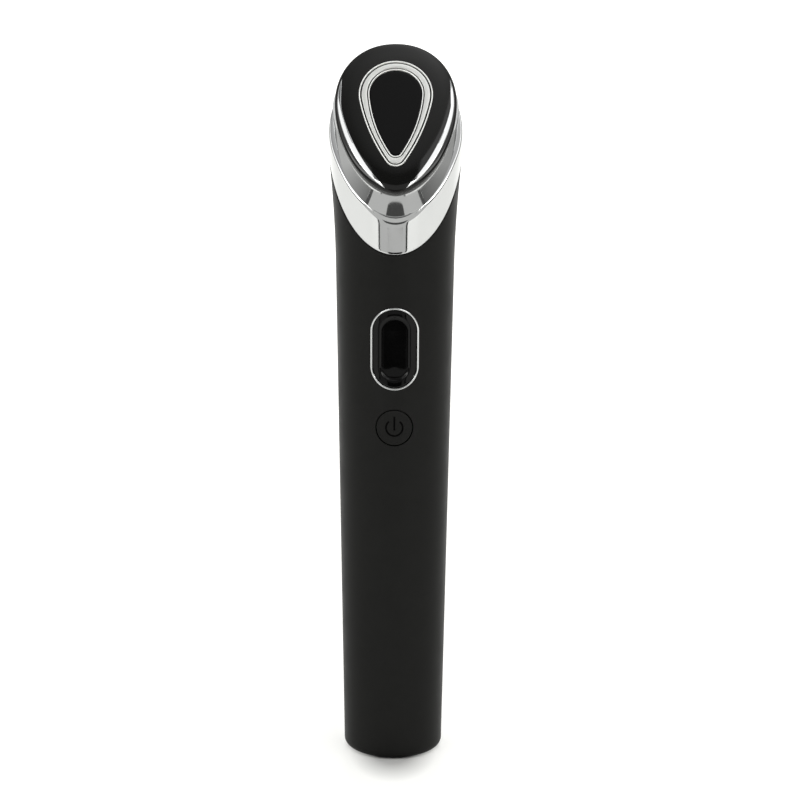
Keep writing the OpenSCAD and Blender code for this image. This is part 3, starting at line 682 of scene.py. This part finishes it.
def cap():
    """Gloss black cap: upright wall, tight shoulder and a slow crown with a teardrop pocket."""
    rays = directions(14, 18.5)

    def edge(inset):
        return ray_points(rays, CAP_MIDDLE, lambda x, s: outside_egg(x, s, CAP_OVAL, inset, CAP_BEND))

    def row(points, h):
        return [tilted(x, s, CAP_BASE + h) for x, s in points]
    rows = [row(edge(3.0), 0), row(edge(0.35), 0)]
    for inset, h in ((0.2, 0.15), (0.08, 0.28), (0, 0.42), (0, 1.0), (0, 1.5), (0, 2.0)):
        rows.append(row(edge(inset), h))
    for inset in (0.004, 0.015, 0.04, 0.09, 0.17, 0.28, 0.42, 0.6, 0.85, 1.2, 1.7, 2.3, 3.0, 3.8):
        rows.append(row(edge(inset), crown_height(inset)))
    outer = edge(3.8)
    inner = ray_points(rays, CAP_MIDDLE, lambda x, s: outside_drop(x, s, RING_DROP))
    rows += [on_crown(between(outer, inner, f), 0) for f in (0.2, 0.4, 0.6, 0.8, 0.95, 1.0)]
    hole = [(x * 0.5, mix(CAP_MIDDLE, s, 0.5)) for x, s in inner]
    rows += [row(inner, POCKET_H), row(hole, POCKET_H), row(hole, 0), rows[0]]
    piece("cap_crown", loft(rows), piano_black, "handle", ["head_cap"])


def crescent_rays():
    """Rays from the cap's middle that cross the right crescent, and where they do so."""
    rays = []
    cut_x, cut_s = POINT_CUT_AT
    run_x, run_s = POINT_CUT_ALONG
    for k in range(CRESCENT_RAYS):
        a = math.radians(-90 + 180 * (k + 0.5) / CRESCENT_RAYS)
        dx, ds = math.cos(a), math.sin(a)

        def leaves(oval, bend):
            return reach(lambda r: outside_egg(r * dx, CAP_MIDDLE + r * ds, oval, 0, bend))
        end = leaves(CRESCENT_OUT, CRESCENT_OUT_BEND)
        start = leaves(CRESCENT_IN, CRESCENT_IN_BEND)
        if ds < 0:
            straight = (run_s * cut_x - run_x * (cut_s - CAP_MIDDLE)) / (run_s * dx - run_x * ds)
            if CAP_MIDDLE + straight * ds < cut_s:
                start = max(start, straight)
        if end - start > 0.02:
            rays.append((dx, ds, start, end))
    return rays[::CRESCENT_SKIP] + [rays[-1]]


def crescent(side, name, node):
    """Crescent electrode, inlaid a little proud of the crown, with rounded edges."""
    edge = [(0, -0.9), (0, -0.06), (0.25, 0.02), (0.6, 0.08), (1, CRESCENT_PROUD)]
    rows = []
    for dx, ds, start, end in crescent_rays():
        r = min(CRESCENT_ROUND, (end - start) / 2.2)
        across = [(start + r * u, h) for u, h in edge]
        across += [(mix(start + r, end - r, f), CRESCENT_PROUD) for f in (0.2, 0.4, 0.6, 0.8)]
        across += [(end - r * u, h) for u, h in reversed(edge)]
        row = []
        for run, h in across:
            x, s = run * dx, CAP_MIDDLE + run * ds
            row.append(tilted(side * x, s, crown_t(x, s) + h))
        rows.append(row)
    rows = [middle_row(rows[0])] + rows + [middle_row(rows[-1])]
    piece(name, loft(rows), chrome, "handle", [node])


def drop_points(drop, inset):
    """Points round a teardrop, evenly spaced on its outline and set in square to it."""
    tip, side, top = drop
    low, high = side_angles(drop)
    arcs = [(tip, -math.pi / 2, low), (side, low, high), (top, high, math.pi / 2)]
    lengths = [arc[0][2] * (arc[2] - arc[1]) for arc in arcs]
    half = []
    for k in range(HEAD_COUNT // 2 + 1):
        run = sum(lengths) * k / (HEAD_COUNT // 2)
        for (centre, a0, _), length in zip(arcs, lengths):
            if run <= length + 1e-9 or centre is top:
                a = a0 + run / centre[2]
                half.append((centre[0] + (centre[2] - inset) * math.cos(a),
                             centre[1] + (centre[2] - inset) * math.sin(a)))
                break
            run -= length
    return half + [(-x, s) for x, s in reversed(half[1:-1])]


def ring_part(name, section, finish, node):
    """Closed loft round the ring: each row is an outline, its inset and its height."""
    rows = [on_crown(drop_points(drop, inset), h) for drop, inset, h in section]
    piece(name, loft(rows + [rows[0]]), finish, "handle", [node])


def electrode():
    """Teardrop ring: outer bead, satin band and fine inner bead. The lens's black flange
    shows in the grooves between them. Sections are insets and heights over the crown."""
    foot = -0.5
    bead = [(0.04, foot), (0.04, 0.06), (0.06, 0.14), (0.09, 0.22), (0.14, 0.27), (0.2, 0.28),
            (0.26, 0.26), (0.31, 0.2), (0.34, 0.1), (0.36, -0.04), (0.36, foot)]
    fine = [(-0.28, foot), (-0.28, -0.04), (-0.26, 0.08), (-0.22, 0.15), (-0.15, 0.17), (-0.08, 0.14),
            (-0.03, 0.06), (0.0, -0.1), (0.0, foot)]
    ring_part("ring_bead_outer", [(RING_DROP, *p) for p in bead], satin_painted_highlight,
              "teardrop_electrode")
    ring_part("ring_bead_inner", [(LENS_DROP, *p) for p in fine], satin_painted_highlight,
              "teardrop_electrode")
    seat, face = -1.2, -0.2
    flange = [(RING_DROP, 0.3, seat), (RING_DROP, 0.3, face), (RING_DROP, 0.8, face),
              (LENS_DROP, -0.2, face), (LENS_DROP, -0.2, seat)]
    ring_part("lens_flange", flange, smoked_glass, "teardrop_lens")
    out_edge = [(0.68, foot), (0.68, -0.04), (0.7, 0.1), (0.74, 0.17), (0.8, 0.2)]
    in_edge = [(-0.64, 0.2), (-0.58, 0.17), (-0.54, 0.1), (-0.52, -0.04), (-0.52, foot)]
    outer = drop_points(RING_DROP, out_edge[-1][0])
    inner = drop_points(LENS_DROP, in_edge[0][0])
    rows = [on_crown(drop_points(RING_DROP, inset), h) for inset, h in out_edge]
    rows += [on_crown(between(outer, inner, f), 0.21) for f in (0.25, 0.5, 0.75)]
    rows += [on_crown(drop_points(LENS_DROP, inset), h) for inset, h in in_edge]
    rows.append(rows[0])
    piece("ring_band", loft(rows), satin_chrome, "handle", ["teardrop_electrode"])


def lens():
    """Gloss black lens inside the ring, sunk a little and nearly flat."""
    rows = [on_crown(drop_points(LENS_DROP, 0.08), h) for h in (-1.2, -0.3, -0.18)]
    edge = drop_points(LENS_DROP, 0.1)
    for f in (0.99, 0.95, 0.9, 0.8, 0.65, 0.5, 0.35, 0.2, 0.1, 0.0):
        rows.append(on_crown([(f * x, mix(LENS_MIDDLE, s, f)) for x, s in edge], -0.15))
    piece("teardrop_window", loft(rows), smoked_glass, "handle",
          ["teardrop_lens"])


handle()
window()
button()
collar()
neck()
cap()
crescent(1, "crescent_right", "right_crescent")
crescent(-1, "crescent_left", "left_crescent")
electrode()
lens()


def flat_mesh(name, bm, finish):
    """Part of the studio: not a piece of the object."""
    mesh = bpy.data.meshes.new(name)
    bm.to_mesh(mesh)
    bm.free()
    mesh.materials.append(finish)
    made = bpy.data.objects.new(name, mesh)
    scene.collection.objects.link(made)
    return made


def floor():
    """White acrylic table top, large enough to run out of view, lit from below, with a painted
    contact shadow in front of the foot.
    """
    bm = bmesh.new()
    bmesh.ops.create_grid(bm, x_segments=1, y_segments=1, size=6)
    finish = bpy.data.materials.new("white_acrylic")
    finish.use_nodes = True
    tree = finish.node_tree
    tree.nodes.clear()
    place = add(tree, "ShaderNodeTexCoord", {}).outputs["Object"]
    haze = add(tree, "ShaderNodeTexNoise", {"Vector": place, "Scale": 30.0})
    gloss = add(tree, "ShaderNodeMapRange",
                {"Value": haze.outputs[0], "To Min": 0.3, "To Max": 0.4})
    run = add(tree, "ShaderNodeVectorMath", {0: place}, operation="LENGTH").outputs["Value"]
    # the glow is dimmed in a soft oval in front of the foot's middle, sized in metres: a painted
    # contact shadow and painted reflection of the foot
    wide, deep, ahead = 0.0105, 0.0185, 0.008
    oval = add(tree, "ShaderNodeVectorMath",
               {0: place, 1: (1 / wide, 1 / deep, 0), 2: (0, ahead / deep, 0)},
               operation="MULTIPLY_ADD").outputs["Vector"]
    far = add(tree, "ShaderNodeVectorMath", {0: oval}, operation="LENGTH").outputs["Value"]
    # painted shade: the glow falls to nothing in the oval's middle and rises to its edge
    painted_contact_shade = add(tree, "ShaderNodeMapRange",
                  {"Value": far, "From Min": 0.35, "From Max": 1.0, "To Min": 0.0,
                   "To Max": GLOW_NEAR})
    spread = add(tree, "ShaderNodeMapRange",
                 {"Value": run, "From Min": 0.1, "From Max": 1.0, "To Min": 0.0,
                  "To Max": GLOW_FAR - GLOW_NEAR})
    glow = add(tree, "ShaderNodeMath", {0: painted_contact_shade.outputs[0], 1: spread.outputs[0]},
               operation="ADD")
    surface = add(tree, "ShaderNodeBsdfPrincipled",
                  {"Base Color": linear("B4B4B2"), "Roughness": gloss.outputs[0],
                   "Specular IOR Level": 0.15, "Emission Color": (1, 1, 0.97, 1),
                   "Emission Strength": glow.outputs[0]})
    add(tree, "ShaderNodeOutputMaterial", {"Surface": surface.outputs[0]})
    flat_mesh("table", bm, finish)


def softbox(name, at, aim, size, brightness, reflected=True):
    """Area light whose face has the given brightness, where white paper is 1."""
    data = bpy.data.lights.new(name, "AREA")
    data.shape = "RECTANGLE"
    data.size, data.size_y = size
    data.energy = brightness * math.pi * size[0] * size[1]
    made = bpy.data.objects.new(name, data)
    made.location = at
    made.rotation_euler = (Vector(aim) - Vector(at)).to_track_quat("-Z", "Y").to_euler()
    made.visible_glossy = reflected
    scene.collection.objects.link(made)


def card(name, corners, brightness, fade=None):
    """Studio card that is only seen in reflections. Its corners run round its edge.
    A fade makes it lighter to the back and to the left, up to the given brightness."""
    bm = bmesh.new()
    made = bmesh.ops.create_circle(bm, segments=len(corners), radius=1, cap_ends=True)
    for v, p in zip(made["verts"], corners):
        v.co = p
    finish = bpy.data.materials.new(name)
    finish.use_nodes = True
    tree = finish.node_tree
    tree.nodes.clear()
    if fade:
        place = add(tree, "ShaderNodeTexCoord", {}).outputs["Object"]
        along = add(tree, "ShaderNodeSeparateXYZ", {"Vector": place}).outputs
        back = add(tree, "ShaderNodeMapRange",
                   {"Value": along["Y"], "From Min": BOARD_Y, "From Max": 0.1,
                    "To Min": brightness, "To Max": fade})
        left = add(tree, "ShaderNodeMapRange",
                   {"Value": along["X"], "From Min": -0.5, "From Max": 0.5, "To Min": 1.05,
                    "To Max": 0.72})
        brightness = add(tree, "ShaderNodeMath", {0: back.outputs[0], 1: left.outputs[0]},
                         operation="MULTIPLY").outputs[0]
    glow = add(tree, "ShaderNodeEmission", {"Color": (1, 1, 0.98, 1), "Strength": brightness})
    add(tree, "ShaderNodeOutputMaterial", {"Surface": glow.outputs[0]})
    made = flat_mesh(name, bm, finish)
    made.visible_camera = False
    made.visible_diffuse = False
    made.visible_shadow = False
    made.visible_transmission = False


def arc_card(name, distance, turn, rise, brightness, fade=None):
    """Card bent round the object: turns and rises in degrees, seen from the head."""
    def at(a, e):
        a, e = math.radians(a), math.radians(e)
        return Vector((distance * math.sin(a), -distance * math.cos(a),
                       HEAD_Z + distance * math.tan(e)))
    turns = [mix(turn[0], turn[1], k / ARC_STEPS) for k in range(ARC_STEPS + 1)]
    for k in range(ARC_STEPS):
        corners = [at(turns[k], rise[0]), at(turns[k + 1], rise[0]),
                   at(turns[k + 1], rise[1]), at(turns[k], rise[1])]
        card("%s_%d" % (name, k), corners, brightness, fade)


def cards():
    """Grey sheet and board in front of the object, with dark borders and a dark opening."""
    near, far, lift = -0.3, BOARD_Y, 0.002
    # half widths: the sheet's grow with the distance, the board's are the same all along
    left, right, wide, tall = 0.55, 0.36, 0.71, 0.3
    card("sheet", [(left * near, near, lift), (-right * near, near, lift),
                   (-right * far, far, lift), (left * far, far, lift)], CARD_LEVEL["sheet"])
    edge_near, edge_far, edge_lift, border = 0.02, 0.045, 0.003, 0.12
    for side, slope, name in ((-1, left, "left"), (1, right, "right")):
        card("sheet_edge_" + name, [(side * slope * -near, near, edge_lift),
                                    (side * slope * -far, far, edge_lift),
                                    (side * (slope * -far + edge_far), far, edge_lift),
                                    (side * (slope * -near + edge_near), near, edge_lift)],
             CARD_LEVEL["sheet_edge"])
        card("board_edge_" + name, [(side * wide, far, 0), (side * wide, far, tall),
                                    (side * (wide + border), far, tall),
                                    (side * (wide + border), far, 0)], CARD_LEVEL["board_edge"])
    card("board", [(-wide, far, 0), (wide, far, 0), (wide, far, tall), (-wide, far, tall)],
         CARD_LEVEL["board"])
    slot_lift, slot_near, slot_far = 0.004, (0.066, -0.26), (0.118, -0.46)
    card("slot", [(-slot_near[0], slot_near[1], slot_lift), (*slot_near, slot_lift),
                  (*slot_far, slot_lift), (-slot_far[0], slot_far[1], slot_lift)],
         CARD_LEVEL["slot"])
    half, front, top, spring, rise, steps = 0.2, far + 0.01, 0.19, 0.066, 0.044, 16
    arch = [(half, front, top), (-half, front, top)]
    for k in range(steps + 1):
        a = math.pi * k / steps
        arch.append((-half * math.cos(a), front, spring - rise * math.sin(a)))
    card("arch", arch, CARD_LEVEL["arch"])
    arc_card("front_fill", 0.9, (-18, 18), (5, 29), CARD_LEVEL["front_fill"])
    for side, name in ((-1, "left"), (1, "right")):
        arc_card("front_light_" + name, 0.9, sorted((side * 18, side * 60)), (14, 26),
                 CARD_LEVEL["front_light"])
        arc_card("side_" + name, 1.08, sorted((side * 48, side * 132)), (-7.4, 25),
                 CARD_LEVEL["side"], SIDE_FADE)


def surroundings():
    """Room: white for the camera. In reflections it is grey in front and lighter behind."""
    world = bpy.data.worlds.new("room")
    scene.world = world
    world.use_nodes = True
    tree = world.node_tree
    tree.nodes.clear()
    path = add(tree, "ShaderNodeLightPath", {})
    aim = add(tree, "ShaderNodeTexCoord", {}).outputs["Generated"]
    parts = add(tree, "ShaderNodeSeparateXYZ", {"Vector": aim}).outputs
    # towards the horizon it grows lighter to the back
    around = add(tree, "ShaderNodeMapRange",
                 {"Value": parts["Y"], "From Min": -0.6, "From Max": 0.7, "To Min": 0.22,
                  "To Max": 1.0})
    # in front, above the cards, it is dark
    front = add(tree, "ShaderNodeMapRange",
                {"Value": parts["Y"], "From Min": -0.1, "From Max": -0.4})
    lifted = add(tree, "ShaderNodeMapRange",
                 {"Value": parts["Z"], "From Min": 0.3, "From Max": 0.45})
    dark = add(tree, "ShaderNodeMath", {0: front.outputs[0], 1: lifted.outputs[0]},
               operation="MULTIPLY")
    below = add(tree, "ShaderNodeMix",
                {0: dark.outputs[0], 2: around.outputs[0], 3: 0.1}, data_type="FLOAT")
    # overhead it is bright, and more so on the right
    rise = add(tree, "ShaderNodeMapRange",
               {"Value": parts["Z"], "From Min": 0.72, "From Max": 0.95, "To Min": 0.1})
    turn = add(tree, "ShaderNodeMapRange",
               {"Value": parts["X"], "From Min": -0.25, "From Max": 0.25, "To Min": 0.7,
                "To Max": 1.6})
    above = add(tree, "ShaderNodeMath", {0: rise.outputs[0], 1: turn.outputs[0]},
                operation="MULTIPLY")
    height = add(tree, "ShaderNodeMapRange",
                 {"Value": parts["Z"], "From Min": 0.68, "From Max": 0.74})
    level = add(tree, "ShaderNodeMix",
                {0: height.outputs[0], 2: below.outputs[0], 3: above.outputs[0]},
                data_type="FLOAT")
    seen = add(tree, "ShaderNodeBackground", {"Color": (1, 1, 0.97, 1), "Strength": 1.0})
    felt = add(tree, "ShaderNodeBackground",
               {"Color": (1, 1, 1, 1), "Strength": level.outputs[0]})
    both = add(tree, "ShaderNodeMixShader",
               {0: path.outputs["Is Camera Ray"], 1: felt.outputs[0], 2: seen.outputs[0]})
    add(tree, "ShaderNodeOutputWorld", {"Surface": both.outputs[0]})


floor()
cards()
surroundings()
softbox("overhead", (0, 0.1, 1.1), (0, 0, 0), (1.2, 1.2), OVERHEAD_LEVEL, False)
softbox("box_left", (-0.56, -0.46, 0.62), (0, 0, HEAD_Z), (0.74, 0.48), BOX_LEVEL)
softbox("box_right", (0.56, -0.47, 0.72), (0, 0, HEAD_Z), (0.79, 0.54), BOX_LEVEL)
scene.view_settings.view_transform = "Standard"
